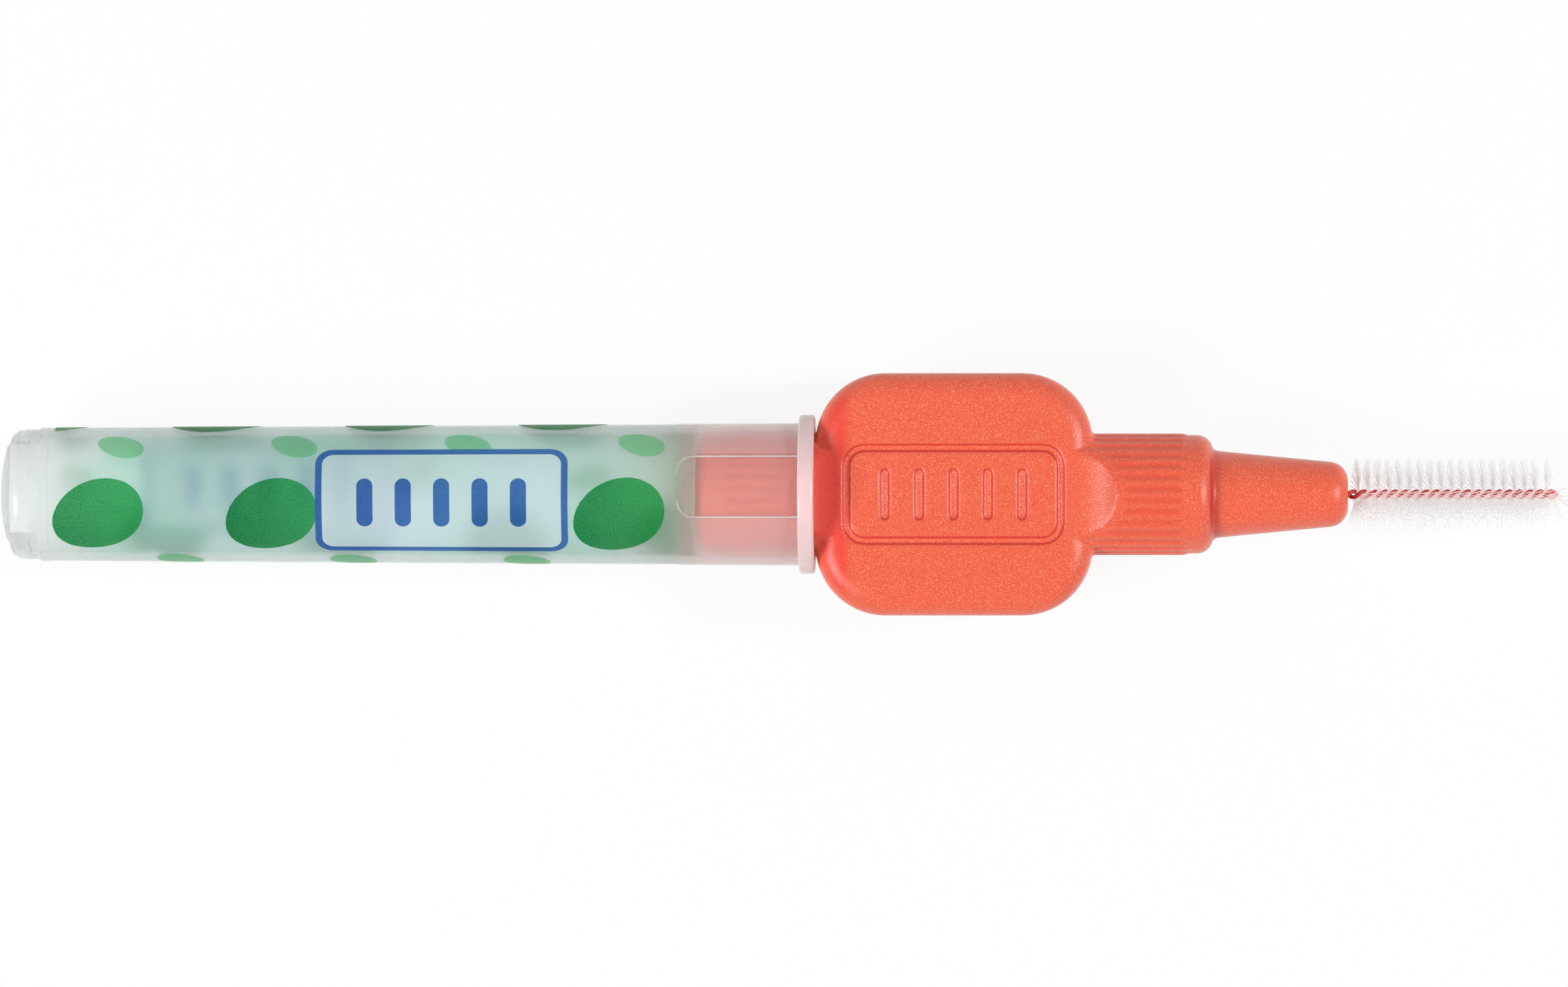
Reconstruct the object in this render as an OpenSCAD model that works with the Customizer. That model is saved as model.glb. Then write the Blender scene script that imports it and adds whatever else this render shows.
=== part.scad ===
// Interdental brush with a pull-off cap that doubles as a handle extension.
// Millimetres. +X runs from the closed end of the cap to the brush tip, +Z is up.
// The origin is under the middle of the whole length, level with the lowest point of the cap's rim.

/* [Handle pad] */
// Length of the thumb pad along the brush
pad_len = 13.7; // [11.5:0.1:18]
// Width of the thumb pad
pad_w = 12; // [9:0.1:16]
// Thickness of the thumb pad
pad_t = 4.5; // [3.8:0.1:5.4]
// Radius of the pad's corners seen from above
pad_corner_r = 3.45; // [2:0.05:4.4]
// Radius of the pad's rounded edges
pad_edge_r = 1.2; // [0.5:0.05:1.6]

/* [Thumb marks] */
// Length of the sunken border on each face of the pad
mark_len = 11; // [8.5:0.1:11.4]
// Width of the sunken border
mark_w = 5; // [3.5:0.1:7]
// Corner radius of the sunken border
mark_corner_r = 1.1; // [0.5:0.05:1.7]
// Width of the border's groove
mark_line = 0.4; // [0.2:0.05:0.6]
// Depth of the border and the bars
mark_depth = 0.18; // [0.08:0.01:0.4]
// Number of grip bars inside the border
bar_count = 5; // [2:1:7]
// Length of a grip bar
bar_len = 2.6; // [1.5:0.1:3.2]
// Width of a grip bar
bar_w = 0.5; // [0.3:0.05:0.7]

/* [Collars] */
// Length of each collar, from the pad to its end face
collar_len = 5.95; // [5.2:0.05:8]
// Diameter of the plain ring at the end of a collar
collar_d = 5.88; // [5.5:0.02:6.6]
// Length of that plain ring
ring_len = 0.62; // [0.3:0.02:1]
// Radius of the rounding at the end of a collar
collar_round = 0.77; // [0.4:0.01:1.1]
// Number of grip ribs round a collar
rib_count = 32; // [20:1:36]
// Height of the ribs over the plain ring
rib_h = 0.09; // [0.05:0.01:0.14]
// Width of a rib
rib_w = 0.36; // [0.25:0.01:0.45]
// Radius of the hollow ramp that leads the thumb up to a collar
scoop_r = 3.2; // [2.6:0.1:4]
// Distance from the pad's edge in to the foot of the ramp
scoop_in = 0.88; // [0.6:0.02:1.2]
// Depth of the ramp's foot below the pad's face
scoop_dip = 0.03; // [0.02:0.005:0.08]
// Plain border between the ramp and the ribs
scoop_border = 0.3; // [0.1:0.05:0.6]

/* [Nose] */
// Length of the nose cone
nose_len = 6.7; // [5:0.1:9]
// Diameter of the nose cone at the collar
nose_base_d = 4.36; // [3.8:0.02:4.4]
// Half angle of the nose cone in degrees
nose_taper = 5.5; // [2:0.1:7]
// Radius of the rounding at the nose's tip
nose_round = 0.97; // [0.4:0.01:1.1]

/* [Wire] */
// Length of bare and bristled wire in front of the nose
wire_len = 10.4; // [8:0.1:14]
// Length of wire anchored inside the nose
wire_tail = 4; // [2.5:0.1:5]
// Outer diameter of one coated leg of the wire
leg_d = 0.21; // [0.18:0.01:0.3]
// Diameter of the steel core
core_d = 0.11; // [0.08:0.01:0.13]
// Clearance between the core and its coating
core_fit = 0.012; // [0.01:0.001:0.02]
// Length of one full turn of the twist
twist_pitch = 1.03; // [0.9:0.01:1.6]
// Clearance between the wire and the hole that it is anchored in
wire_fit = 0.02; // [0.01:0.005:0.05]

/* [Bristles] */
// Diameter of the bristled part
brush_d = 3.74; // [2.4:0.02:5.6]
// Thickness of one filament
filament_d = 0.07; // [0.05:0.005:0.09]
// Bare wire between the nose and the first filament
brush_start = 0.5; // [0.3:0.05:1]
// Bare wire between the last filament and the start of the wire's end loop
brush_stop = 0.05; // [0.02:0.01:0.2]
// How far the last filaments fan out past the end of the wire
fan_reach = 0.5; // [0.2:0.05:0.6]
// Filaments that cross the wire in one turn of the twist
filaments_per_turn = 21; // [17:1:23]
// Clearance between the clamped filaments and each wire leg
clamp_fit = 0.01; // [0.005:0.005:0.02]

/* [Cap] */
// Length of the cap, from its closed end to its mouth
cap_len = 40.4; // [34:0.1:60]
// Wall thickness of the cap
cap_wall = 0.42; // [0.4:0.02:0.6]
// Draft of the cap's wall in degrees
cap_draft = 0.32; // [0.1:0.02:0.5]
// Clearance between the cap's wall and the ribs at the inner end of the collar
cap_fit = 0.05; // [0.03:0.01:0.1]
// Clearance between the cap's grip pads and the ribs
grip_fit = 0.02; // [0.01:0.005:0.03]
// Gap between the cap's mouth and the thumb pad
mouth_gap = 0.05; // [0.03:0.01:0.2]
// Length of the rim at the mouth
rim_len = 0.78; // [0.5:0.02:1.5]
// Height of the rim over the wall
rim_h = 0.41; // [0.25:0.01:0.8]
// Rounding of the rim's edges
rim_edge_r = 0.16; // [0.05:0.01:0.22]
// Radius of the dome on the closed end
dome_r = 9.3; // [6:0.1:12]
// Rounding between the dome and the wall
dome_corner_r = 0.8; // [0.6:0.02:1.2]
// Thickness of the closed end
end_wall = 0.9; // [0.8:0.02:1.6]
// Thickness of the plain label film
film_t = 0.05; // [0.03:0.005:0.07]
// Clearance under the label film
film_fit = 0.01; // [0.005:0.005:0.02]
// Length of cap between its closed end and the film
film_start = 2.4; // [2.2:0.1:5]
// Length of the film
film_len = 31.2; // [20:0.1:31.4]

/* [Cap details] */
// Width of the grip pads inside the mouth
grip_w = 3.03; // [2:0.01:4]
// Length of the grip pads
grip_len = 6; // [4:0.1:6.5]
// Corner radius of the grip pads
grip_corner_r = 0.8; // [0.3:0.05:1]
// Width of the raised band across the closed end
band_w = 4.4; // [3.8:0.1:5.2]
// How far the two end pockets are set back from the dome
pocket_set = 0.1; // [0.06:0.01:0.3]
// Depth of the end pockets in the side of the cap
pocket_side = 0.08; // [0.04:0.01:0.12]
// Length of the end pockets along the side
pocket_len = 2; // [1.2:0.05:2.1]

/* [Hidden] */
$fn = 64;

// Overrun of every cut past the face that it opens
over = 0.5;
// Rings in one turn of the twist, sides of a wire leg, and steps round its end loop
rings_per_turn = 8;
leg_sides = 6;
loop_steps = 6;
// Steps of the arcs in the cap's closed end
dome_steps = 4;
corner_steps = 8;
// Part of its cell that a filament fills along the wire, and of the chord that a collar is buried by
cell_share = 0.8;
root_share = 0.85;
// Height of the plain border round the ramp, as a share of the ribs' height
border_share = 0.7;
// Part of the filaments, from the tip back, that lean forward
fan_share = 0.12;
// Half width of the clamped ribbon of filaments, as a share of a wire leg's diameter
ribbon_share = 0.57;

// The collar that the cap's bore is sized from
collar_r = collar_d / 2;
crest_r = collar_r + rib_h;
spigot_end = cap_len + mouth_gap - collar_len;
function bore_r(h) = crest_r + cap_fit + (h - spigot_end) * tan(cap_draft);
function wall_r(h) = bore_r(h) + cap_wall;
rim_r = wall_r(cap_len) + rim_h;

// Stations along the axis
total_len = cap_len + mouth_gap + pad_len + collar_len + nose_len + wire_len + fan_reach;
cap_x = -total_len / 2;
pad_x = cap_x + cap_len + mouth_gap + pad_len / 2;
nose_x = pad_x + pad_len / 2 + collar_len;
wire_x = nose_x + nose_len;
axis_z = rim_r;

// The twisted wire: two legs that wind round the clamped filaments
leg_r = leg_d / 2;
coil_r = filament_d / 2 + clamp_fit + leg_r;
wire_r = coil_r + leg_r;
tail_x = wire_x - wire_tail;
loop_x = wire_x + wire_len - wire_r;
leg_steps = round((loop_x - tail_x) / twist_pitch * rings_per_turn);
function twist(x) = 360 * (x - wire_x) / twist_pitch;

// The filaments
brush_r = brush_d / 2;
ribbon_r = leg_d * ribbon_share;
first_x = wire_x + brush_start;
last_x = loop_x - brush_stop;
cells = round((last_x - first_x) / twist_pitch * filaments_per_turn);
cell_len = (last_x - first_x) / cells;
fan_cells = ceil(cells * fan_share);
fan_max = asin((fan_reach + wire_r + brush_stop + cell_len * (1 - cell_share) / 2) / brush_r);

// Directions square to the axis: towards a wire leg, and along the filaments between the legs
function leg_way(a) = [0, sin(a), cos(a)];
function hair_way(a) = [0, cos(a), -sin(a)];
function on_axis(x) = [x, 0, axis_z];

// Faces of a tube's wall through rings of n points, where the first ring starts at point from
function tube_walls(n, rings, from, inner) = [
    for (i = [0 : rings - 2], k = [0 : n - 1])
        let (a = from + i * n + k, b = from + i * n + (k + 1) % n, c = b + n, d = a + n)
        for (f = inner ? [[a, b, c], [a, c, d]] : [[a, c, b], [a, d, c]]) f
];

// Centre, forward direction and outward direction of each ring along the bent and twisted wire
function leg_ring(x, way) =
    let (a = twist(x), rise = coil_r * 2 * PI / twist_pitch)
    [on_axis(x) + way * coil_r * leg_way(a),
     way * [1, 0, 0] + hair_way(a) * rise,
     way * leg_way(a)];
function loop_ring(b) =
    let (x = loop_x + coil_r * sin(b), a = twist(x), turn = coil_r * 2 * PI / twist_pitch)
    [on_axis(x) + coil_r * cos(b) * leg_way(a),
     cos(b) * [1, 0, 0] - sin(b) * leg_way(a) + pow(cos(b), 2) * turn * hair_way(a),
     cos(b) * leg_way(a) + sin(b) * [1, 0, 0]];
wire_rings = concat(
    [for (i = [0 : leg_steps]) leg_ring(tail_x + (loop_x - tail_x) * i / leg_steps, 1)],
    [for (i = [1 : loop_steps - 1]) loop_ring(180 * i / loop_steps)],
    [for (i = [leg_steps : -1 : 0]) leg_ring(tail_x + (loop_x - tail_x) * i / leg_steps, -1)]
);
function unit(v) = v / norm(v);
function ring_points(r) = [
    for (ring = wire_rings)
        let (side = unit(cross(ring[1], ring[2])))
        for (k = [0 : leg_sides - 1])
            let (a = 360 * k / leg_sides)
            ring[0] + r * (cos(a) * ring[2] + sin(a) * side)
];

// Moves a piece from its own start, with its axis on X, to a station on the object's axis
module at_station(x) {
    translate([x, 0, axis_z])
        children();
}

// Turns a piece made about Z so that it runs along X
module along_x() {
    rotate([0, 90, 0])
        children();
}

module rounded_rect(l, w, r) {
    square([l - 2 * r, w], center = true);
    square([l, w - 2 * r], center = true);
    for (sx = [-1, 1], sy = [-1, 1])
        translate([sx * (l / 2 - r), sy * (w / 2 - r)])
            circle(r);
}

// One corner of the pad: a disc with a rounded edge
module pad_corner() {
    rotate_extrude()
        intersection() {
            rounded_rect(2 * pad_corner_r, pad_t, pad_edge_r);
            translate([0, -pad_t])
                square([2 * pad_corner_r, 2 * pad_t]);
        }
}

module pad_body() {
    for (sx = [-1, 1], sy = [-1, 1])
        translate([sx * (pad_len / 2 - pad_corner_r), sy * (pad_w / 2 - pad_corner_r), 0])
            pad_corner();
    rotate([90, 0, 90])
        linear_extrude(pad_len - 2 * pad_corner_r, center = true)
            rounded_rect(pad_w, pad_t, pad_edge_r);
    rotate([90, 0, 0])
        linear_extrude(pad_w - 2 * pad_corner_r, center = true)
            rounded_rect(pad_len, pad_t, pad_edge_r);
}

// Sunken border and grip bars, cut into one face of the pad
module thumb_marks() {
    bar_step = (mark_len - 2 * mark_line) / (bar_count + 1);
    translate([0, 0, pad_t / 2 - mark_depth])
        linear_extrude(mark_depth + over) {
            difference() {
                rounded_rect(mark_len, mark_w, mark_corner_r);
                rounded_rect(mark_len - 2 * mark_line, mark_w - 2 * mark_line, mark_corner_r - mark_line);
            }
            for (i = [1 : bar_count])
                translate([(i - (bar_count + 1) / 2) * bar_step, 0]) {
                    square([bar_w, bar_len - bar_w], center = true);
                    for (s = [-1, 1])
                        translate([0, s * (bar_len - bar_w) / 2])
                            circle(bar_w / 2);
                }
        }
}

// Section of the ribbed stretch: a disc with round ribs on it
module rib_section() {
    rib_r = (pow(rib_h, 2) + pow(rib_w / 2, 2)) / (2 * rib_h);
    circle(collar_r);
    for (i = [0 : rib_count - 1])
        rotate(360 * i / rib_count)
            translate([crest_r - rib_r, 0])
                circle(rib_r);
}

// Hollow ramp over and under the foot of a collar, widened by grow
module scoops(grow) {
    for (s = [-1, 1])
        translate([pad_len / 2 - scoop_in, 0, s * (pad_t / 2 + scoop_r - scoop_dip)])
            rotate([90, 0, 0])
                cylinder(r = scoop_r + grow, h = 2 * crest_r + 2 * over, center = true);
}

// Ribbed collar with a plain ring and a rounded end, on the +X side of the pad
module collar() {
    root = root_share * sqrt(2 * scoop_r * scoop_dip - pow(scoop_dip, 2));
    foot_x = pad_len / 2 - scoop_in - root;
    rib_end = pad_len / 2 + collar_len - collar_round - ring_len;
    difference() {
        union() {
            translate([foot_x, 0, 0])
                along_x()
                    linear_extrude(rib_end - foot_x)
                        rib_section();
            translate([rib_end - over, 0, 0])
                along_x()
                    rotate_extrude()
                        ring_section(over + ring_len + collar_round);
            intersection() {
                translate([foot_x, 0, 0])
                    along_x()
                        cylinder(r = collar_r + border_share * rib_h, h = rib_end - foot_x);
                scoops(scoop_border);
            }
        }
        scoops(0);
    }
}

// Half section of the plain ring, h long, with its rounded outer edge
module ring_section(h) {
    square([collar_r, h - collar_round]);
    square([collar_r - collar_round, h]);
    translate([collar_r - collar_round, h - collar_round])
        circle(collar_round);
}

// Nose cone with a rounded tip. It starts inside the collar, by the overrun.
module nose() {
    tip_h = nose_len - nose_round;
    tip_r = nose_base_d / 2 - tip_h * tan(nose_taper) - nose_round / cos(nose_taper);
    translate([pad_len / 2 + collar_len, 0, 0])
        along_x()
            rotate_extrude() {
                polygon([
                    [0, -over],
                    [nose_base_d / 2 + over * tan(nose_taper), -over],
                    [tip_r + nose_round * cos(nose_taper), tip_h + nose_round * sin(nose_taper)],
                    [tip_r, tip_h],
                    [tip_r, nose_len],
                    [0, nose_len]
                ]);
                translate([tip_r, tip_h])
                    intersection() {
                        circle(nose_round);
                        translate([0, -nose_round])
                            square([nose_round, 2 * nose_round]);
                    }
            }
}

// Moulded handle: thumb pad, a collar at each end, nose and the hole round the wire
module handle() {
    color([0.95, 0.38, 0.3])
        at_station(pad_x)
            difference() {
                union() {
                    pad_body();
                    collar();
                    mirror([1, 0, 0])
                        collar();
                    nose();
                }
                for (m = [0, 1])
                    mirror([0, 0, m])
                        thumb_marks();
                translate([tail_x - wire_fit - pad_x, 0, 0])
                    along_x()
                        cylinder(r = wire_r + wire_fit, h = wire_tail + wire_fit + over);
            }
}

// Steel wire, bent double at the tip and twisted
module core_wire() {
    rings = len(wire_rings);
    color([0.7, 0.7, 0.72])
        polyhedron(
            points = ring_points(core_d / 2),
            faces = concat(
                tube_walls(leg_sides, rings, 0, false),
                [for (k = [1 : leg_sides - 2]) [0, k, k + 1]],
                [for (k = [1 : leg_sides - 2]) (rings - 1) * leg_sides * [1, 1, 1] + [0, k + 1, k]]
            )
        );
}

// Plastic coating, a sleeve all along the steel wire
module wire_coating() {
    rings = len(wire_rings);
    inside = rings * leg_sides;
    last = (rings - 1) * leg_sides;
    color([0.9, 0.33, 0.25])
        polyhedron(
            points = concat(ring_points(leg_r), ring_points(core_d / 2 + core_fit)),
            faces = concat(
                tube_walls(leg_sides, rings, 0, false),
                tube_walls(leg_sides, rings, inside, true),
                [for (k = [0 : leg_sides - 1])
                    let (n = (k + 1) % leg_sides)
                    for (f = [[k, n, n + inside], [k, n + inside, k + inside]]) f],
                [for (k = [0 : leg_sides - 1])
                    let (n = (k + 1) % leg_sides, at = last * [1, 1, 1])
                    for (f = [at + [n, k, k + inside], at + [n, k + inside, n + inside]]) f]
            )
        );
}

// Corners of the clamped ribbon at station i, and of the filament tip over cell i on one side
function ribbon_corners(i) =
    let (
        x = first_x + i * cell_len,
        wide = ribbon_r * hair_way(twist(x)),
        up = filament_d / 2 * leg_way(twist(x))
    )
    [for (c = [[1, 1], [1, -1], [-1, -1], [-1, 1]]) on_axis(x) + c[0] * wide + c[1] * up];
function lean(i) = fan_max * pow(max(0, i + 1 - (cells - fan_cells)) / fan_cells, 2);
function tip_corners(i, s) =
    let (
        x = first_x + (i + 0.5) * cell_len,
        a = twist(x),
        out = s * hair_way(a),
        up = s * filament_d / 2 * leg_way(a),
        tip = on_axis(x) + brush_r * (cos(lean(i)) * out + sin(lean(i)) * [1, 0, 0]),
        along = cell_share * cell_len / 2 * (cos(lean(i)) * [1, 0, 0] - sin(lean(i)) * out)
    )
    [tip - along + up, tip - along - up, tip + along - up, tip + along + up];

// Nylon filaments: the ribbon held between the wire's legs, and a strand out of each cell on both sides
module filaments() {
    tips = 4 * (cells + 1);
    color([0.95, 0.95, 0.94])
        polyhedron(
            points = concat(
                [for (i = [0 : cells]) each ribbon_corners(i)],
                [for (i = [0 : cells - 1], s = [1, -1]) each tip_corners(i, s)]
            ),
            faces = concat(
                [[0, 3, 2], [0, 2, 1]],
                [[4 * cells, 4 * cells + 1, 4 * cells + 2], [4 * cells, 4 * cells + 2, 4 * cells + 3]],
                [for (i = [0 : cells - 1], k = [1, 3])
                    let (a = 4 * i + k, b = 4 * i + (k + 1) % 4)
                    for (f = [[a, b, b + 4], [a, b + 4, a + 4]]) f],
                [for (i = [0 : cells - 1], s = [0, 1])
                    let (
                        root = [4 * i + 2 * s, 4 * i + 2 * s + 1, 4 * i + 2 * s + 5, 4 * i + 2 * s + 4],
                        t = tips + 8 * i + 4 * s
                    )
                    for (f = concat(
                        [for (k = [0 : 3])
                            let (n = (k + 1) % 4)
                            for (g = [[root[k], root[n], t + n], [root[k], t + n, t + k]]) g],
                        [[t, t + 1, t + 2], [t, t + 2, t + 3]]
                    )) f]
            )
        );
}

// Half section of a round body from height h0 up to top, with a domed end, a rounded corner and a
// drafted side. inset is the distance in from the outer wall.
module domed_section(h0, inset, corner_r, top) {
    slope = tan(cap_draft);
    c_r = wall_r(h0 + corner_r) - inset - corner_r / cos(cap_draft);
    c_h = h0 + dome_r - sqrt(pow(dome_r - corner_r, 2) - pow(c_r, 2));
    dome_a = asin(c_r / (dome_r - corner_r));
    corner_a = 90 - cap_draft - dome_a;
    side_h = c_h - corner_r * sin(cap_draft);
    polygon(concat(
        [for (i = [0 : dome_steps])
            let (a = dome_a * i / dome_steps)
            [dome_r * sin(a), h0 + dome_r * (1 - cos(a))]],
        [for (i = [1 : corner_steps])
            let (a = dome_a + corner_a * i / corner_steps)
            [c_r + corner_r * sin(a), c_h - corner_r * cos(a)]],
        [[c_r + corner_r * cos(cap_draft) + (top - side_h) * slope, top], [0, top]]
    ));
}

// Blocks of space on both sides of the raised band, down to the end pockets' length
module pocket_blocks() {
    for (s = [-1, 1])
        translate([(pocket_len - over) / 2, s * (band_w / 2 + rim_r / 2), 0])
            cube([pocket_len + over, rim_r, 2 * rim_r], center = true);
}

// Outside of the cap: the domed tube and its rim, with the set-back surface showing in two end pockets
module cap_outside() {
    difference() {
        along_x()
            rotate_extrude() {
                domed_section(0, 0, dome_corner_r, cap_len);
                rim_section();
            }
        pocket_blocks();
    }
    along_x()
        rotate_extrude()
            domed_section(pocket_set, pocket_side, dome_corner_r, pocket_len + over);
}

// Raised grip pads inside the mouth, one above and one below the spigot
module grip_pads() {
    ring_r = bore_r(cap_len) + cap_wall / 2;
    mid_h = cap_len - rim_len - grip_len / 2;
    intersection() {
        translate([mid_h, 0, 0])
            linear_extrude(2 * ring_r + 2 * over, center = true)
                rounded_rect(grip_len, grip_w, grip_corner_r);
        difference() {
            translate([mid_h - grip_len / 2 - over, 0, 0])
                along_x()
                    cylinder(r = ring_r, h = grip_len + 2 * over);
            translate([mid_h - grip_len / 2 - 2 * over, 0, 0])
                along_x()
                    cylinder(r = crest_r + grip_fit, h = grip_len + 4 * over);
        }
    }
}

// Half section of the rim's ring, from inside the wall out to the rim
module rim_section() {
    ring_w = rim_h + cap_wall / 2;
    translate([rim_r - ring_w / 2, cap_len - rim_len / 2])
        rounded_rect(ring_w, rim_len, rim_edge_r);
}

// Half section between two distances in from the outer wall, over the film's length
module sleeve_section(outer_in, inner_in, h0, h1) {
    polygon([
        [wall_r(h0) - inner_in, h0],
        [wall_r(h0) - outer_in, h0],
        [wall_r(h1) - outer_in, h1],
        [wall_r(h1) - inner_in, h1]
    ]);
}

// Frosted cap: a tapered tube with a domed end, a rim at its mouth and a shallow seat for the film
module cap_tube() {
    color([0.84, 0.87, 0.86])
        at_station(cap_x) {
            difference() {
                cap_outside();
                along_x()
                    rotate_extrude()
                        domed_section(end_wall, cap_wall, dome_corner_r - cap_wall, cap_len + over);
                along_x()
                    rotate_extrude()
                        sleeve_section(-over, film_t + film_fit, film_start, film_start + film_len);
            }
            grip_pads();
        }
}

// Printed label film, flush with the cap's wall
module label_film() {
    color([0.8, 0.88, 0.84])
        at_station(cap_x)
            along_x()
                rotate_extrude()
                    sleeve_section(0, film_t, film_start + film_fit, film_start + film_len - film_fit);
}

handle();
core_wire();
wire_coating();
filaments();
cap_tube();
label_film();
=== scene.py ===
"""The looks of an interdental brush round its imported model: a Blender add-on in form, run as a script."""

import math
import random
from collections import namedtuple

import bmesh
import bpy
from bpy.props import FloatProperty
from bpy.props import FloatVectorProperty
from bpy.props import IntProperty
from bpy.props import PointerProperty
from bpy.types import Operator
from bpy.types import Panel
from bpy.types import PropertyGroup
from mathutils import Matrix
from mathutils import Vector


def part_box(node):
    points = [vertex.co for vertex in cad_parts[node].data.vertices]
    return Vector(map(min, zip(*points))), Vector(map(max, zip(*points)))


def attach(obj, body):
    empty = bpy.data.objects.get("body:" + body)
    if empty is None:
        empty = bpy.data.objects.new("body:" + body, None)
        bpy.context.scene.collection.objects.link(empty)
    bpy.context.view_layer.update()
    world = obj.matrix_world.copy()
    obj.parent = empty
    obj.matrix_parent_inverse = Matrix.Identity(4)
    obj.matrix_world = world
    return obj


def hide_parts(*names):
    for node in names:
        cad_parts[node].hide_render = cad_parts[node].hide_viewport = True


bl_info = {
    "name": "Interdental brush",
    "version": (1, 0, 0),
    "blender": (4, 5, 0),
    "location": "View3D > Sidebar > Interdental brush",
    "description": "Builds the looks of an interdental brush and its cap around the packed model",
    "category": "Object",
}

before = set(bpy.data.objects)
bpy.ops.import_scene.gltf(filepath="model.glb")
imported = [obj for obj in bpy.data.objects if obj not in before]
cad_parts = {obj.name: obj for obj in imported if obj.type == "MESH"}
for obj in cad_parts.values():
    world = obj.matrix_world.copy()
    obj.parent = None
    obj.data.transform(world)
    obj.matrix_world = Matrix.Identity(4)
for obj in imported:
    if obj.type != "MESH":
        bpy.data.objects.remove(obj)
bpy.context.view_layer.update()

# One millimetre in the scene's metres. Pieces are shaped in millimetres and scaled at the end.
MM = 0.001
WHITE = (1, 1, 1, 1)


def box_mm(node):
    """Lowest and highest corner of a CAD node in millimetres."""
    low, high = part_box(node)
    return low / MM, high / MM


CAP_LOW, CAP_HIGH = box_mm("cap_tube")
HANDLE_LOW, HANDLE_HIGH = box_mm("handle")
FILM_LOW, FILM_HIGH = box_mm("label_film")
HAIR_LOW, HAIR_HIGH = box_mm("filaments")
WIRE_END_X = box_mm("wire_coating")[1].x

# The sizes from here down to the stage are in millimetres. First, the height of the brush's axis.
AXIS_Z = (CAP_LOW.z + CAP_HIGH.z) / 2

# The handle has a collar at each end of its thumb pad, then the nose cone.
NOSE_TIP_X = HANDLE_HIGH.x
COLLAR_LENGTH = 5.95
PAD_LENGTH = 13.7
PAD_MID_X = HANDLE_LOW.x + COLLAR_LENGTH + PAD_LENGTH / 2
PAD_HALF_THICK = 2.25
# The field of the pad that holds the recessed marks, half its length and width, and the marks' depth.
MARKS_HALF_LENGTH = 5.65
MARKS_HALF_WIDTH = 2.65
MARK_DEPTH = 0.18
# How far the softened mesh strays from the marks' floor, the pad's face and the collars' grooves.
FLOOR_STRAY = 0.05
FACE_STRAY = 0.035
GROOVE_STRAY = 0.02
# Distances from the pad's middle between which a collar is ribbed, and radii of its grooves and ribs.
RIBS_START = 6.9
RIBS_END = 11.4
GROOVE_R = 2.95
RIB_R = 3.02
# The hollow neck of the pad in front of the cap's rim, where the rim's shade is painted, and its height
# over the axis.
NECK_START_X = CAP_HIGH.x - 0.25
NECK_END_X = PAD_MID_X - 5.0
NECK_HEIGHT = 1.6
# The crease where the nose cone meets the front collar, how far its painted shade reaches, and its radius.
CREASE_X = 21.2
CREASE_REACH = 0.5
CREASE_R = 2.7

# The film lies in a seat in the cap's wall, which tapers by CAP_TAPER of radius per unit of length.
FILM_R = (FILM_HIGH.z - FILM_LOW.z) / 2
FILM_THICK = 0.03
CAP_TAPER = 0.005585
# The film's piece is a little thinner, so that its back keeps clear of the seat.
FILM_PIECE_THICK = 0.8 * FILM_THICK
# Depth under the cap's outer skin past which a face belongs to its bore.
BORE_DEPTH = 0.24
# Steps round the cap and the film.
ROUND_STEPS = 144
# Distances from the closed end at which the radii of the wall's outside and inside are read for it.
OUTER_SHOULDER = 1.2
INNER_SHOULDER = 2
# Radius of the corner between the closed end's inner dome and the bore.
INNER_CORNER = 0.38
# Faces of the closed end are outside before END_SKIN or past SKIN_R, and the pockets' flanks lean in.
END_SKIN = 0.8
SKIN_R = 3.1
POCKET_FLANK = 0.07
# The grip pads start past the film, with rounded corners and a fine bead round them.
GRIP_START_X = FILM_HIGH.x + 0.06
GRIP_CORNER = 0.8
GRIP_BEAD = 0.045

# How far the wire's tails reach back into the nose, and the steps of its path in a turn and round its end.
WIRE_TAIL = 4
STEPS_A_TURN = 16
LOOP_STEPS = 12

# The strands start and end a little inside the wire's twisted length and keep inside their node's box.
HAIR_START_GAP = 0.4
HAIR_END_GAP = 0.05
HAIR_INSET = 0.03
# Sides of a strand, and how much of its width is left at its tip.
HAIR_SIDES = 6
TIP_SHARE = 0.8
# Start of the random draws, the spread of a strand's turn and lean, and the least share of its length.
HAIR_SEED = 11
TURN_SPREAD = 0.025
LEAN_SPREAD = 0.01
LEAST_SHARE = 0.975
# How far the last half turn of strands leans further forward, per unit of height.
END_LEAN = 0.2
# The fan past the wire's end: angles off the axis and round it in degrees, and its length of wire.
FAN_LEAST = 3
FAN_OPENING = 72
FAN_CROWDING = 0.8
FAN_SIDE = -100
FAN_SWING = 70
FAN_STEP = 2.4
FAN_LENGTH = 0.12

# The print: rows of spots round the film and their step along it, and how deep the ink lies.
SPOT_ROWS = 3
SPOT_STEP = 8.6
INK_DEPTH = 0.4 * FILM_THICK
# Each kind of spot: shifts as shares of a step and a row, half its length and width, tilt in degrees.
LARGE_SPOTS = (0.2, 0.66, 2.35, 1.9, 28)
SMALL_SPOTS = (0.74, 1.12, 1.2, 0.74, -20)
# The ink's start and end along the film.
INK_START = 0.3
INK_END = 30.9
# The near panel's middle along the film, and how much nearer the film's start the far one lies.
PANEL_X = 19.6
FAR_SHIFT = 9.0
# How far both panels are turned round the film, as a share of half a turn.
PANEL_TURN = 0.04
# Half length, half width and corner of a panel outside and inside its border.
PANEL_OUTSIDE = (6.25, 2.9, 0.9)
PANEL_INSIDE = (5.92, 2.57, 0.6)
# The bars in a panel: their step, radius, half their straight length, and how far they go along it.
BAR_STEP = 1.9
BAR_R = 0.4
BAR_HALF_LENGTH = 0.85
BARS_REACH = 4.6

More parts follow.
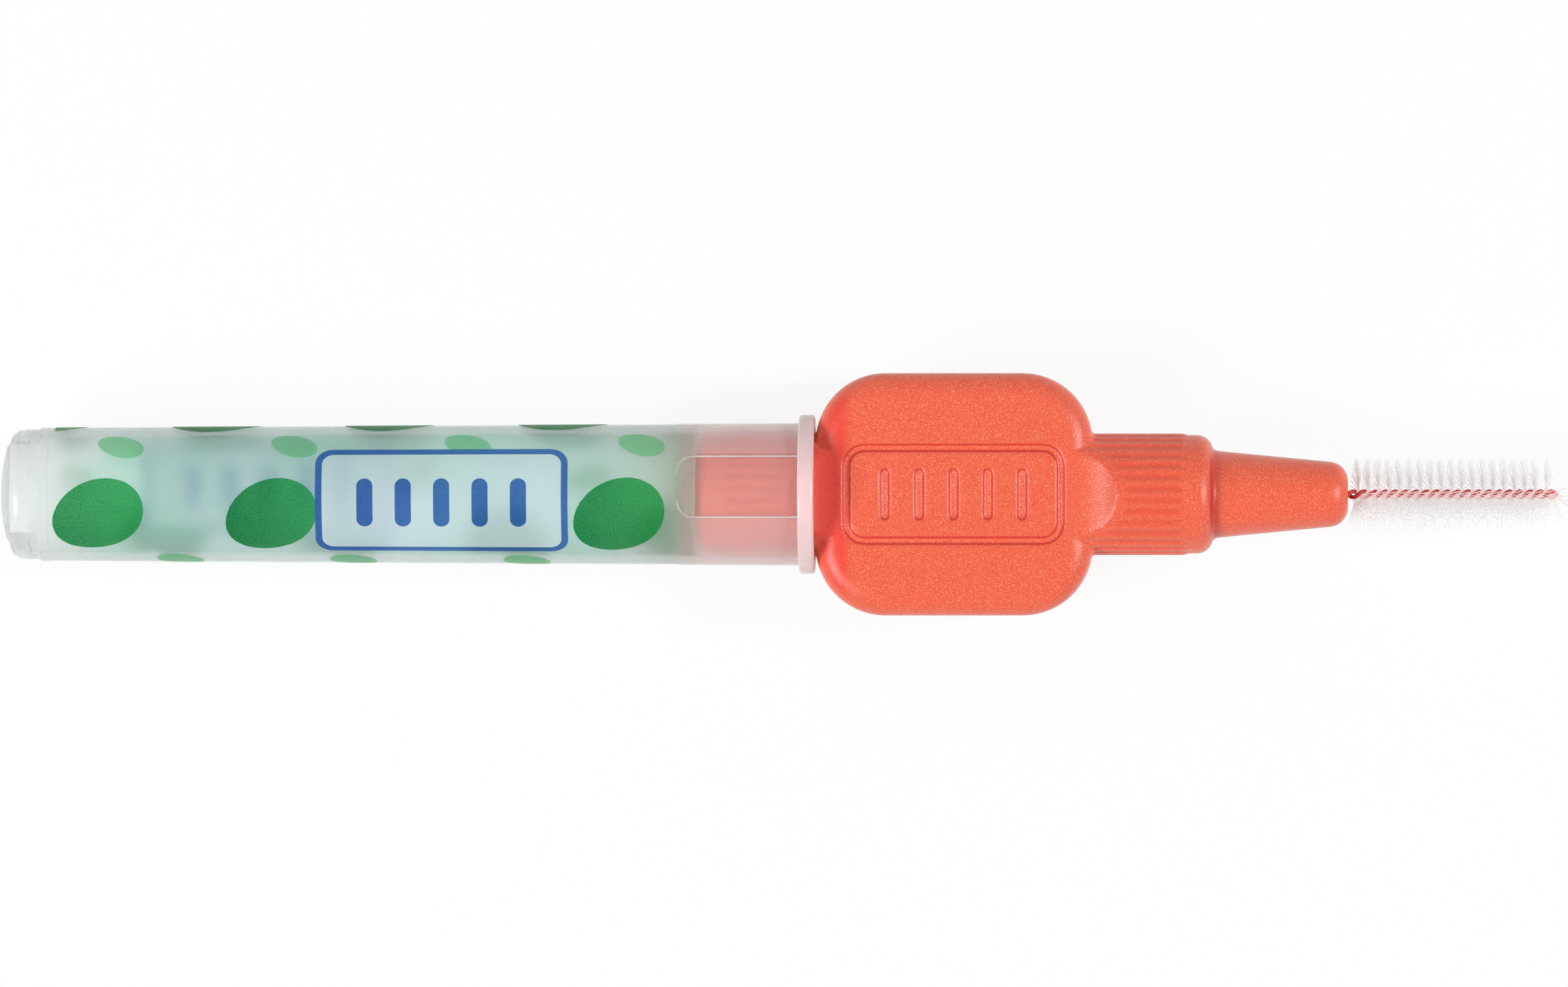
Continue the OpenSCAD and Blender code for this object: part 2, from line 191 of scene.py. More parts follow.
# The stage in metres: half the floor's width, its gap under the object, and the camera's sideways aim.
FLOOR_HALF = 3.0
FLOOR_GAP = 0.00002
AIM_Y = 0.00004
# Each lamp's name, place, width and power.
LAMPS = (
    ("left", (-0.34, -0.13, 0.31), 0.19, 1.75),
    ("right", (0.37, 0.03, 0.26), 0.06, 1.15),
)
WORLD_STRENGTH = 0.27


def film_radius(x):
    """Outer radius of the film and the wall round it at a place along the cap."""
    return FILM_R + (x - FILM_HIGH.x) * CAP_TAPER


def linear(red, green, blue):
    """A colour given as 0 to 255 screen values, as the linear values that shaders take."""
    return tuple(
        c / 255 / 12.92 if c <= 10 else ((c / 255 + 0.055) / 1.055) ** 2.4
        for c in (red, green, blue)
    )


class Value:
    """A number or colour that flows through a finish. Arithmetic on it adds Math nodes."""

    def __init__(self, finish, socket):
        self.finish = finish
        self.socket = socket

    def __add__(self, other):
        return self.finish.maths("ADD", self, other)

    def __radd__(self, other):
        return self.finish.maths("ADD", other, self)

    def __sub__(self, other):
        return self.finish.maths("SUBTRACT", self, other)

    def __rsub__(self, other):
        return self.finish.maths("SUBTRACT", other, self)

    def __mul__(self, other):
        return self.finish.maths("MULTIPLY", self, other)

    def __rmul__(self, other):
        return self.finish.maths("MULTIPLY", other, self)

    def __truediv__(self, other):
        return self.finish.maths("DIVIDE", self, other)

    def __rtruediv__(self, other):
        return self.finish.maths("DIVIDE", other, self)

    def __pow__(self, other):
        return self.finish.maths("POWER", self, other)

    def __lt__(self, other):
        return self.finish.maths("LESS_THAN", self, other)

    def __gt__(self, other):
        return self.finish.maths("GREATER_THAN", self, other)

    def __abs__(self):
        return self.finish.maths("ABSOLUTE", self)


Place = namedtuple("Place", ("x", "y", "z", "radius"))


class Finish:
    """The node tree of a material or a world, written as expressions."""

    def __init__(self, owner):
        self.owner = owner
        owner.use_nodes = True
        self.tree = owner.node_tree
        self.tree.nodes.clear()

    def node(self, kind, settings=None, sockets=None):
        """A node of any type, with its settings, then the values or links of its sockets."""
        made = self.tree.nodes.new(kind)
        for name, value in (settings or {}).items():
            if name == "stops":
                self.set_stops(made.color_ramp, value)
            else:
                setattr(made, name, value)
        for name, value in (sockets or {}).items():
            if isinstance(value, Value):
                self.tree.links.new(value.socket, made.inputs[name])
            else:
                made.inputs[name].default_value = value
        return made

    def set_stops(self, ramp, stops):
        """Gives a colour ramp its stops, each a place from 0 to 1 and a colour."""
        while len(ramp.elements) < len(stops):
            ramp.elements.new(0.5)
        for element, (place, colour) in zip(ramp.elements, stops):
            element.position = place
            element.color = (*colour, 1)

    def out(self, node, name=0):
        """The value of a node's output, by its name or number."""
        return Value(self, node.outputs[name])

    def maths(self, operation, *values):
        """A Math node's result."""
        sockets = dict(enumerate(values))
        return self.out(self.node("ShaderNodeMath", {"operation": operation}, sockets))

    def clamp(self, value):
        """The value kept from 0 to 1."""
        return self.out(self.node("ShaderNodeClamp", None, {"Value": value}))

    def rise(self, value, start, slope):
        """A share that climbs from 0 at the start to 1. With a slope under 0 it climbs downwards."""
        return self.clamp((value - start) * slope)

    def mix(self, share, first, second):
        """Colour between first and second, through the colour sockets of a Mix node."""
        first = first if isinstance(first, Value) else (*first, 1)
        second = second if isinstance(second, Value) else (*second, 1)
        sockets = {0: share, 6: first, 7: second}
        settings = {"data_type": "RGBA"}
        return self.out(self.node("ShaderNodeMix", settings, sockets), 2)

    def layered(self, colour, layers):
        """A colour under layers, each a share and its own colour."""
        for share, shade in layers:
            colour = self.mix(share, colour, shade)
        return colour

    def blend(self, share, first, second):
        """A shader between first and second."""
        sockets = {0: share, 1: self.out(first), 2: self.out(second)}
        return self.node("ShaderNodeMixShader", None, sockets)

    def spot(self):
        """The object's own coordinates."""
        return self.out(self.node("ShaderNodeTexCoord"), "Object")

    def stretched(self, spot, scale):
        """The spot scaled each way, which stretches a pattern the way that has the small scale."""
        return self.out(self.node("ShaderNodeMapping", None, {"Vector": spot, "Scale": scale}))

    def place(self, spot):
        """A spot's x, its y and z from the brush's axis, and its distance from it, in millimetres."""
        parts = self.node("ShaderNodeSeparateXYZ", None, {"Vector": spot})
        x = self.out(parts, 0) / MM
        y = self.out(parts, 1) / MM
        z = self.out(parts, 2) / MM - AXIS_Z
        return Place(x, y, z, (y**2 + z**2) ** 0.5)

    def facing(self):
        """0 where the surface faces the eye, and more towards its outline."""
        return self.out(self.node("ShaderNodeLayerWeight", None, {"Blend": 0.5}), "Facing")

    def noise(self, spot, size, detail=2.0, roughness=0.5):
        """Noise from 0 to 1 with lumps of the given size in millimetres."""
        sockets = {
            "Vector": spot,
            "Scale": 1 / (size * MM),
            "Detail": detail,
            "Roughness": roughness,
        }
        return self.out(self.node("ShaderNodeTexNoise", None, sockets), "Fac")

    def bump(self, height, depth, strength=1.0):
        """A normal from a height of 0 to 1 that stands for the given depth in millimetres."""
        sockets = {"Height": height, "Distance": depth * MM, "Strength": strength}
        return self.out(self.node("ShaderNodeBump", None, sockets))

    def principled(self, sockets):
        """A shader for plastic or metal."""
        return self.node("ShaderNodeBsdfPrincipled", None, sockets)

    def surface(self, shader, output="ShaderNodeOutputMaterial"):
        """Ends the tree in this shader and returns the material or world."""
        self.node(output, None, {"Surface": self.out(shader)})
        return self.owner


def merged_copy(node):
    """A merged copy of a CAD node's mesh, in millimetres."""
    bm = bmesh.new()
    bm.from_mesh(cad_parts[node].data)
    bmesh.ops.scale(bm, vec=(1 / MM,) * 3, verts=bm.verts)
    bmesh.ops.remove_doubles(bm, verts=bm.verts, dist=0.0005)
    return bm


def add_piece(name, bm, body, stands_for, material, sharp=None):
    """Makes a piece from a bmesh in millimetres. Edges over the sharp angle, in degrees, stay hard."""
    bmesh.ops.scale(bm, vec=(MM,) * 3, verts=bm.verts)
    mesh = bpy.data.meshes.new(name)
    bm.to_mesh(mesh)
    bm.free()
    if not mesh.polygons:
        raise RuntimeError(f"{name} has no faces")
    piece = bpy.data.objects.new(name, mesh)
    bpy.context.scene.collection.objects.link(piece)
    mesh.materials.append(material)
    mesh.shade_smooth()
    if sharp is not None:
        mesh.set_sharp_from_angle(angle=math.radians(sharp))
    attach(piece, body)
    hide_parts(stands_for)


def remeshed(bm, voxel):
    """The same solid as an even mesh of cells of the given size, all in millimetres."""
    mesh = bpy.data.meshes.new("remesh_work")
    bm.to_mesh(mesh)
    bm.free()
    work = bpy.data.objects.new("remesh_work", mesh)
    bpy.context.scene.collection.objects.link(work)
    cells = work.modifiers.new("cells", "REMESH")
    cells.mode = "VOXEL"
    cells.voxel_size = voxel
    graph = bpy.context.evaluated_depsgraph_get()
    even = bpy.data.meshes.new_from_object(work.evaluated_get(graph))
    out = bmesh.new()
    out.from_mesh(even)
    bpy.data.objects.remove(work)
    bpy.data.meshes.remove(mesh)
    bpy.data.meshes.remove(even)
    return out


def tube_along(paths, radius, resolution):
    """Round tubes with closed ends along lists of points, as one bmesh."""
    curve = bpy.data.curves.new("tube_work", "CURVE")
    curve.dimensions = "3D"
    curve.bevel_depth = radius
    curve.bevel_resolution = resolution
    curve.use_fill_caps = True
    for path in paths:
        line = curve.splines.new("POLY")
        line.points.add(len(path) - 1)
        for point, at in zip(line.points, path):
            point.co = (*at, 1)
    work = bpy.data.objects.new("tube_work", curve)
    bpy.context.scene.collection.objects.link(work)
    graph = bpy.context.evaluated_depsgraph_get()
    tube = bpy.data.meshes.new_from_object(work.evaluated_get(graph))
    bm = bmesh.new()
    bm.from_mesh(tube)
    bpy.data.objects.remove(work)
    bpy.data.curves.remove(curve)
    bpy.data.meshes.remove(tube)
    bmesh.ops.remove_doubles(bm, verts=bm.verts, dist=0.0001)
    bmesh.ops.recalc_face_normals(bm, faces=bm.faces)
    return bm


def lathe(points, ring=True):
    """A section of (x, radius) points, spun round the brush's axis. A ring's section is closed."""
    bm = bmesh.new()
    corners = [bm.verts.new((x, 0, AXIS_Z + r)) for x, r in points]
    for first, second in zip(corners, corners[1:]):
        bm.edges.new((first, second))
    if ring:
        bm.edges.new((corners[-1], corners[0]))
    bmesh.ops.spin(
        bm,
        geom=list(bm.verts) + list(bm.edges),
        cent=(0, 0, AXIS_Z),
        axis=(1, 0, 0),
        angle=2 * math.pi,
        steps=ROUND_STEPS,
        use_merge=True,
    )
    bmesh.ops.remove_doubles(bm, verts=bm.verts, dist=0.0001)
    bmesh.ops.recalc_face_normals(bm, faces=bm.faces)
    return bm


class HandleSettings(PropertyGroup):
    """The moulded handle."""

    plastic: FloatVectorProperty(
        name="Plastic",
        description="Colour of the moulding",
        subtype="COLOR",
        min=0,
        max=1,
        default=linear(234, 91, 60),
    )
    grain: FloatProperty(
        name="Grain",
        description="Size of the mould's grain in millimetres",
        default=0.065,
        min=0.02,
        max=1,
    )
    cell: FloatProperty(
        name="Cell",
        description="Size of the mesh's cells in millimetres",
        default=0.101,
        min=0.08,
        max=0.5,
    )
    soften: IntProperty(
        name="Soften",
        description="Rounds of smoothing over the moulding's edges",
        default=2,
        min=0,
        max=10,
    )


class WireSettings(PropertyGroup):
    """The twisted wire."""

    coat: FloatVectorProperty(
        name="Coating",
        description="Colour of the plastic on the wire",
        subtype="COLOR",
        min=0,
        max=1,
        default=linear(232, 82, 72),
    )
    leg: FloatProperty(
        name="Leg",
        description="Diameter of one coated leg in millimetres",
        default=0.21,
        min=0.1,
        max=0.5,
    )
    coil: FloatProperty(
        name="Coil radius",
        description="Distance of each leg's middle from the axis in millimetres",
        default=0.15,
        min=0.05,
        max=0.5,
    )
    pitch: FloatProperty(
        name="Pitch",
        description="Length of one full turn of the twist in millimetres",
        default=1.03,
        min=0.5,
        max=3,
    )


class HairSettings(PropertyGroup):
    """The nylon filaments."""

    nylon: FloatVectorProperty(
        name="Nylon",
        description="Colour of the filaments",
        subtype="COLOR",
        min=0,
        max=1,
        default=linear(250, 251, 251),
    )
    across: FloatProperty(
        name="Filament",
        description="Diameter of one filament in millimetres",
        default=0.066,
        min=0.02,
        max=0.2,
    )
    per_turn: IntProperty(
        name="Per turn",
        description="Filaments that cross the wire in one turn of the twist",
        default=42,
        min=8,
        max=80,
    )
    end_strands: IntProperty(
        name="End strands",
        description="Filaments that fan forward past the end of the wire",
        default=11,
        min=2,
        max=40,
    )
    lean: FloatProperty(
        name="Lean",
        description="How far the filaments lean along the wire, per unit of height",
        default=0.35,
        min=-1,
        max=1,
    )


class CapSettings(PropertyGroup):
    """The frosted cap."""

    tint: FloatVectorProperty(
        name="Tint",
        description="Colour of the frosted plastic",
        subtype="COLOR",
        min=0,
        max=1,
        default=(0.8, 0.945, 0.925),
    )
    wall: FloatProperty(
        name="Wall",
        description="Thickness of the wall in millimetres",
        default=0.42,
        min=0.2,
        max=1,
    )
    end_wall: FloatProperty(
        name="End wall",
        description="Thickness of the closed end in millimetres",
        default=0.9,
        min=0.4,
        max=2,
    )
    dome: FloatProperty(
        name="Dome",
        description="Radius of the closed end's dome in millimetres",
        default=9.3,
        min=5,
        max=20,
    )
    corner: FloatProperty(
        name="Dome corner",
        description="Radius between the dome and the wall in millimetres",
        default=0.8,
        min=0.5,
        max=1.2,
    )
    rim_length: FloatProperty(
        name="Rim length",
        description="Length of the rim along the cap in millimetres",
        default=0.79,
        min=0.4,
        max=2,
    )
    rim_edge: FloatProperty(
        name="Rim edge",
        description="Rounding of the rim in millimetres",
        default=0.16,
        min=0.05,
        max=0.3,
    )
    band: FloatProperty(
        name="Band",
        description="Width of the closed end between its two pockets in millimetres",
        default=4.4,
        min=3,
        max=6,
    )
    pocket_length: FloatProperty(
        name="Pocket length",
        description="Length of the two end pockets in millimetres",
        default=2.0,
        min=1,
        max=3,
    )
    pocket_depth: FloatProperty(
        name="Pocket depth",
        description="Depth of the two end pockets in millimetres",
        default=0.09,
        min=0.02,
        max=0.3,
    )
    pad_width: FloatProperty(
        name="Grip pad",
        description="Width of the grip pads inside the mouth in millimetres",
        default=3.03,
        min=2,
        max=4,
    )
    turn: FloatProperty(
        name="Turn",
        description="How far the cap is turned on its spigot",
        default=math.radians(7.5),
        subtype="ANGLE",
    )


class FilmSettings(PropertyGroup):
    """The printed film."""

    deep: FloatVectorProperty(
        name="Deep green",
        description="Colour of the large spots at their darker end",
        subtype="COLOR",
        min=0,
        max=1,
        default=linear(0, 112, 42),
    )
    light: FloatVectorProperty(
        name="Light green",
        description="Colour of the large spots at their lighter end",
        subtype="COLOR",
        min=0,
        max=1,
        default=linear(44, 168, 84),
    )
    pale: FloatVectorProperty(
        name="Pale green",
        description="Colour of the small spots",
        subtype="COLOR",
        min=0,
        max=1,
        default=linear(132, 208, 152),
    )
    line: FloatVectorProperty(
        name="Blue",
        description="Colour of the panels' borders and bars",
        subtype="COLOR",
        min=0,
        max=1,
        default=linear(40, 86, 178),
    )
    ground: FloatVectorProperty(
        name="Panel",
        description="Colour of the panels' ground",
        subtype="COLOR",
        min=0,
        max=1,
        default=linear(232, 241, 249),
    )


class StageSettings(PropertyGroup):
    """Floor, lights and camera."""

    distance: FloatProperty(
        name="Camera distance",
        description="Height of the camera over the brush's axis",
        default=0.9,
        min=0.2,
        unit="LENGTH",
    )
    side: FloatProperty(
        name="Camera side",
        description="How far the camera stands towards the brush tip",
        default=0.03,
        unit="LENGTH",
    )
    across: FloatProperty(
        name="Frame width",
        description="Width of the picture at the brush's axis",
        default=0.07768,
        min=0.01,
        unit="LENGTH",
    )


def moulded_plastic(settings):
    """Satin coral moulding with a sparkling grain, coarser on the floor of the thumb marks, with painted
    shade, glints and sheen.
    """
    f = Finish(bpy.data.materials.new("moulded_plastic"))
    spot = f.spot()
    at = f.place(spot)
    fine = f.noise(spot, settings.grain, 3.0, 0.6)
    broad = f.noise(spot, 1.6, 2.0)
    height = abs(at.z)
    out = abs(at.x - PAD_MID_X)

    marks = (out < MARKS_HALF_LENGTH) * (abs(at.y) < MARKS_HALF_WIDTH)
    floor_low = PAD_HALF_THICK - MARK_DEPTH - FLOOR_STRAY
    floor_high = PAD_HALF_THICK - MARK_DEPTH + FLOOR_STRAY
    floor = (height > floor_low) * (height < floor_high) * marks
    # Painted shade: deeper red on the walls of the recessed marks.
    flank_shade = (height > floor_high) * (height < PAD_HALF_THICK - FACE_STRAY) * marks
    # Painted shade: the neck in front of the cap's rim is coloured deeper red where the rim shades it.
    neck_shade = f.rise(at.x, NECK_END_X, -2) * f.rise(height, NECK_HEIGHT, 2) * (at.x > NECK_START_X)
    # Painted shade: deeper red in the collars' grooves, with fewer of the grain's pale specks and no
    # painted sheen there.
    groove_shade = f.rise(at.radius, RIB_R, 1 / (GROOVE_R - RIB_R)) * (at.radius > GROOVE_R - GROOVE_STRAY)
    groove_shade = groove_shade * f.rise(out, RIBS_START, 2) * f.rise(out, RIBS_END, -3)
    # Painted shade: a deeper red band in the crease where the nose cone meets the front collar.
    crease_shade = f.rise(abs(at.x - CREASE_X), CREASE_REACH, -2.2) * f.rise(at.radius, CREASE_R, -5)
    # The grain's pale specks are partly grain and partly painted glints of its facets.
    grain_glints = f.rise(fine, 0.53, 6) * (1 - groove_shade * 0.6)
    dull = f.rise(fine, 0.46, -6)
    # Painted sheen: pale grey-pink towards the outline, for the white surroundings reflected at grazing
    # angles.
    painted_sheen = f.rise(f.facing(), 0.66, 2.5) * (1 - marks) * (1 - groove_shade)
    layers = (
        (grain_glints * (0.62 + 0.25 * floor), linear(255, 184, 144)),
        (dull * (0.56 + 0.2 * floor), linear(206, 54, 40)),
        (f.rise(broad, 0.5, 0.7), linear(243, 108, 76)),
        (neck_shade * 0.7, linear(236, 54, 44)),
        (groove_shade * 0.3, linear(208, 50, 40)),
        (crease_shade * 0.8, linear(196, 40, 36)),
        (flank_shade * 0.75, linear(206, 48, 40)),
        (painted_sheen * 0.5, linear(200, 128, 116)),
    )
    shader = f.principled(
        {
            "Base Color": f.layered(tuple(settings.plastic), layers),
            "Roughness": f.clamp(0.31 - 0.24 * f.rise(fine, 0.5, 5) + 0.1 * floor),
            "Specular IOR Level": 0.45,
            "Normal": f.bump(fine, 0.018, 0.85),
        }
    )
    return f.surface(shader)


def wire_plastic(settings):
    """Smooth coral coating, a little darker in patches."""
    f = Finish(bpy.data.materials.new("wire_plastic"))
    spot = f.spot()
    patch = f.noise(spot, 0.35, 2.0)
    fine = f.noise(spot, 0.05, 2.0)
    shade = linear(206, 54, 54)
    shader = f.principled(
        {
            "Base Color": f.mix(f.rise(patch, 0.3, 1.8), shade, tuple(settings.coat)),
            "Roughness": 0.28 + 0.12 * fine,
            "Normal": f.bump(fine, 0.004, 0.6),
        }
    )
    return f.surface(shader)


def drawn_steel():
    """Drawn steel with fine lines along the wire."""
    f = Finish(bpy.data.materials.new("drawn_steel"))
    streak = f.noise(f.stretched(f.spot(), (1.0, 12.0, 12.0)), 0.3, 3.0)
    shader = f.principled(
        {
            "Base Color": f.mix(streak, (0.55, 0.55, 0.57), (0.78, 0.78, 0.8)),
            "Metallic": 1.0,
            "Roughness": 0.22 + 0.2 * streak,
        }
    )
    return f.surface(shader)


def nylon(settings):
    """White translucent nylon, whiter and less clear towards the tips, with a faint painted glow, pink near
    the wire, for light scattered in the strands and reflected from the red wire.
    """
    f = Finish(bpy.data.materials.new("nylon"))
    spot = f.spot()
    reach = f.place(spot).radius
    tip = f.rise(reach, 0.4, 1 / 1.5)
    free = f.rise(reach, 0.24, 4)
    fine = f.noise(spot, 0.12, 2.0)
    shader = f.principled(
        {
            "Base Color": f.mix(tip, linear(246, 240, 240), tuple(settings.nylon)),
            "Roughness": 0.4 + 0.2 * fine,
            "Transmission Weight": 0.35,
            "IOR": 1.25,
            # Painted light: a faint glow, pink near the wire and grey past it.
            "Emission Color": f.mix(free, (1.0, 0.94, 0.93), (0.1, 0.1, 0.1)),
            "Emission Strength": 0.18,
            "Alpha": 0.5 + 0.05 * tip,
        }
    )
    return f.surface(shader)


def frosted_plastic(settings):
    """Frosted see-through moulding: smooth outside, rough inside, milky at its ends and grazing sides, with
    pink painted near the mouth for the coral spigot's light.
    """
    f = Finish(bpy.data.materials.new("frosted_plastic"))
    spot = f.spot()
    at = f.place(spot)
    flow = f.noise(f.stretched(spot, (0.12, 1.0, 1.0)), 0.9, 3.0)
    fine = f.noise(spot, 0.14, 2.0)
    grain = f.bump(fine, 0.008, 0.4)
    inside = at.radius < film_radius(at.x) - BORE_DEPTH
    along = at.x - CAP_LOW.x
    across = abs(at.y * math.cos(settings.turn) - at.z * math.sin(settings.turn))
    length = CAP_HIGH.x - CAP_LOW.x
    film_end = FILM_HIGH.x - CAP_LOW.x
    grip_start = GRIP_START_X - CAP_LOW.x
    spigot_start = HANDLE_LOW.x - CAP_LOW.x

    # The colour by share of the cap's length: pale end, blue-green, a grey gap, and pink over the spigot,
    # painted light from the coral spigot through the wall.
    tint = tuple(settings.tint)
    stops = (
        (0.0, (0.97, 0.985, 0.97)),
        (0.06, (0.96, 0.98, 0.965)),
        (0.13, (0.86, 0.95, 0.93)),
        (0.22, tint),
        (0.5, tint),
        (0.72, (0.76, 0.91, 0.875)),
        (0.8, (0.71, 0.81, 0.74)),
        (0.829, (0.61, 0.67, 0.585)),
        (0.84, (0.65, 0.58, 0.51)),
        (0.852, (0.67, 0.56, 0.5)),
        (0.862, (1.0, 0.9, 0.885)),
    )
    ramp = f.node("ShaderNodeValToRGB", {"stops": stops}, {"Fac": along / length})
    cloud_fade = 3
    cloud = f.rise(f.noise(spot, 6.0, 1.0), 0.46, 5)
    cloud = cloud * f.rise(along, cloud_fade, 1 / cloud_fade)
    cloud = cloud * f.rise(along, film_end, -1 / cloud_fade)
    layers = (
        (cloud * 0.6, (0.54, 0.9, 0.74)),
        (flow * 0.3, (0.9, 0.96, 0.95)),
    )
    window = f.rise(along, grip_start, 2) * (across < settings.pad_width / 2)
    clear = f.principled(
        {
            "Base Color": f.layered(f.out(ramp), layers),
            "Roughness": 0.1 + (0.26 + 0.06 * flow) * inside * (1 - 0.5 * window),
            "Transmission Weight": 0.9,
            "IOR": 1.45,
            "Normal": grain,
        }
    )
    # Painted light: the milky part turns pink towards the mouth, for the coral spigot's light in the
    # plastic.
    pink = f.rise(along, spigot_start - 1.5, 0.5)
    milk_and_painted_pink = f.mix(pink, (0.88, 0.93, 0.9), (0.98, 0.785, 0.78))
    milky = f.principled({"Base Color": milk_and_painted_pink, "Roughness": 0.25, "Normal": grain})

    rim = (along > length - settings.rim_length) * 0.6
    pocket = (across > settings.band / 2) * (along < settings.pocket_length)
    dome_fade = 1.4
    dome = f.rise(along, OUTER_SHOULDER + dome_fade, -1 / dome_fade) * (0.5 - 0.4 * pocket)
    beside_grip = across > settings.pad_width / 2 + 0.1
    sleeve = f.rise(along, spigot_start - 0.3, 2) * beside_grip * 0.16
    side = f.rise(f.facing(), 0.47, 12) * 0.3
    share = f.maths("MAXIMUM", dome, f.maths("MAXIMUM", sleeve, side)) * (1 - inside)
    return f.surface(f.blend(f.maths("MAXIMUM", rim, share), clear, milky))


def pad_edge_highlight():
    """The same plastic, painted pale where the edges of the grip pads catch the light: a painted highlight.
    """
    f = Finish(bpy.data.materials.new("pad_edge_highlight"))
    patch = f.noise(f.spot(), 0.6, 2.0)
    shader = f.principled(
        {
            "Base Color": f.mix(patch, (0.9, 0.86, 0.85), (0.98, 0.96, 0.95)),
            "Roughness": 0.25 + 0.15 * patch,
        }
    )
    return f.surface(shader)


def spots(f, along, turn, edge, shift_along, shift_turn, half_length, half_width, tilt):
    """Mask of one set of tilted ovals in rows round the film, and the share of each one's length."""
    row = turn * SPOT_ROWS + shift_turn
    row_at = f.maths("FLOOR", row)
    step = along / SPOT_STEP + shift_along + row_at / SPOT_ROWS
    x = (f.maths("FRACT", step) - 0.5) * SPOT_STEP
    y = (row - row_at - 0.5) * (2 * math.pi * FILM_R / SPOT_ROWS)
    cos_tilt = math.cos(math.radians(tilt))
    sin_tilt = math.sin(math.radians(tilt))
    a = (x * cos_tilt + y * sin_tilt) / half_length
    b = (y * cos_tilt - x * sin_tilt) / half_width
    return (a * a + b * b + edge) < 1, a


def rounded(f, dx, dy, half_length, half_width, corner):
    """Mask of a rounded rectangle, from the distances to its middle along and round the film."""
    out_x = f.maths("MAXIMUM", dx - (half_length - corner), 0)
    out_y = f.maths("MAXIMUM", dy - (half_width - corner), 0)
    return (out_x * out_x + out_y * out_y) < corner * corner


def panels(f, along, turn):
    """Masks of the two plain panels, one above and one below, and of their borders and bars."""
    panel_x = PANEL_X - FAR_SHIFT * (abs(turn) > 0.25)
    dx = abs(along - panel_x)
    dy = abs(f.maths("FRACT", turn * 2 + 0.5 + PANEL_TURN) - 0.5) * math.pi * FILM_R
    panel = rounded(f, dx, dy, *PANEL_OUTSIDE)
    inside = rounded(f, dx, dy, *PANEL_INSIDE)
    bar_at = f.maths("FRACT", (along - panel_x) / BAR_STEP + 0.5) - 0.5
    bar_x = abs(bar_at) * BAR_STEP
    bar_y = f.maths("MAXIMUM", dy - BAR_HALF_LENGTH, 0)
    bars = ((bar_x * bar_x + bar_y * bar_y) < BAR_R * BAR_R) * (dx < BARS_REACH)
    return panel, f.clamp(panel - inside + bars)


def printed_film(settings):
    """Clear film with staggered green spots and two plain panels of bars, printed on its outside."""
    f = Finish(bpy.data.materials.new("printed_film"))
    spot = f.spot()
    at = f.place(spot)
    along = at.x - FILM_LOW.x
    turn = f.maths("ARCTAN2", at.y, at.z) / (2 * math.pi)
    fine = f.noise(spot, 0.07, 2.0)
    edge = (fine - 0.5) * 0.06
    large, large_along = spots(f, along, turn, edge, *LARGE_SPOTS)
    small, _ = spots(f, along, turn, edge, *SMALL_SPOTS)
    panel, lines = panels(f, along, turn)

    halftone = f.rise(fine, 0.42, 3.2)
    lightness = f.clamp(0.45 + 0.4 * large_along + 1.6 * (fine - 0.5))
    green = f.mix(lightness, tuple(settings.deep), tuple(settings.light))
    pale = f.mix(halftone * 0.6, tuple(settings.pale), linear(150, 210, 165))
    blue = f.mix(halftone * 0.35, tuple(settings.line), linear(84, 122, 188))
    ground = f.mix(halftone * 0.5, tuple(settings.ground), linear(222, 240, 238))
    printed = f.layered(pale, ((large, green), (panel, ground), (lines, blue)))
    outer = at.radius > film_radius(at.x) - INK_DEPTH
    ink = f.clamp(large + small + panel) * outer * (along > INK_START) * (along < INK_END)
    shader = f.principled(
        {
            "Base Color": f.mix(ink, linear(225, 238, 234), printed),
            "Roughness": 0.3 + 0.15 * fine,
            "Transmission Weight": 0.6,
            "Alpha": f.clamp(0.05 + 0.92 * ink),
            "IOR": 1.2,
        }
    )
    return f.surface(shader)


def seen_rays(f):
    """1 for a ray that comes from the camera, by way of gloss or of clear plastic too, and otherwise 0."""
    rays = f.node("ShaderNodeLightPath")
    seen = f.out(rays, "Is Camera Ray") + f.out(rays, "Is Glossy Ray")
    return f.clamp(seen + f.out(rays, "Is Transmission Ray"))


def floor_paper():
    """White paper that keeps a soft shadow and shows white behind the object."""
    f = Finish(bpy.data.materials.new("floor_paper"))
    fibre = f.noise(f.spot(), 0.6, 3.0)
    colour = f.mix(fibre, (0.9, 0.9, 0.9), (0.93, 0.93, 0.93))
    paper = f.node("ShaderNodeBsdfDiffuse", None, {"Color": colour, "Roughness": 0.5})
    white = f.node("ShaderNodeEmission", None, {"Color": WHITE, "Strength": 1.0})
    return f.surface(f.blend(seen_rays(f) * 0.9, paper, white))


def studio_world():
    """Soft white light from all round, which shows as plain white behind and in the object."""
    f = Finish(bpy.data.worlds.new("studio"))
    soft = f.node("ShaderNodeBackground", None, {"Color": WHITE, "Strength": WORLD_STRENGTH})
    white = f.node("ShaderNodeBackground", None, {"Color": WHITE, "Strength": 1.0})
    return f.surface(f.blend(seen_rays(f), soft, white), "ShaderNodeOutputWorld")


class INTERDENTAL_OT_handle(Operator):
    """Builds the moulded handle from the CAD handle, with softened edges"""

    bl_idname = "interdental.handle"
    bl_label = "Build handle"

    def execute(self, context):
        settings = context.scene.interdental_handle
        bm = remeshed(merged_copy("handle"), settings.cell)
        for _ in range(settings.soften):
            bmesh.ops.smooth_vert(
                bm,
                verts=bm.verts,
                factor=0.5,
                use_axis_x=True,
                use_axis_y=True,
                use_axis_z=True,
            )
        material = moulded_plastic(settings)
        add_piece("handle_moulding", bm, "brush", "handle", material)
        return {"FINISHED"}


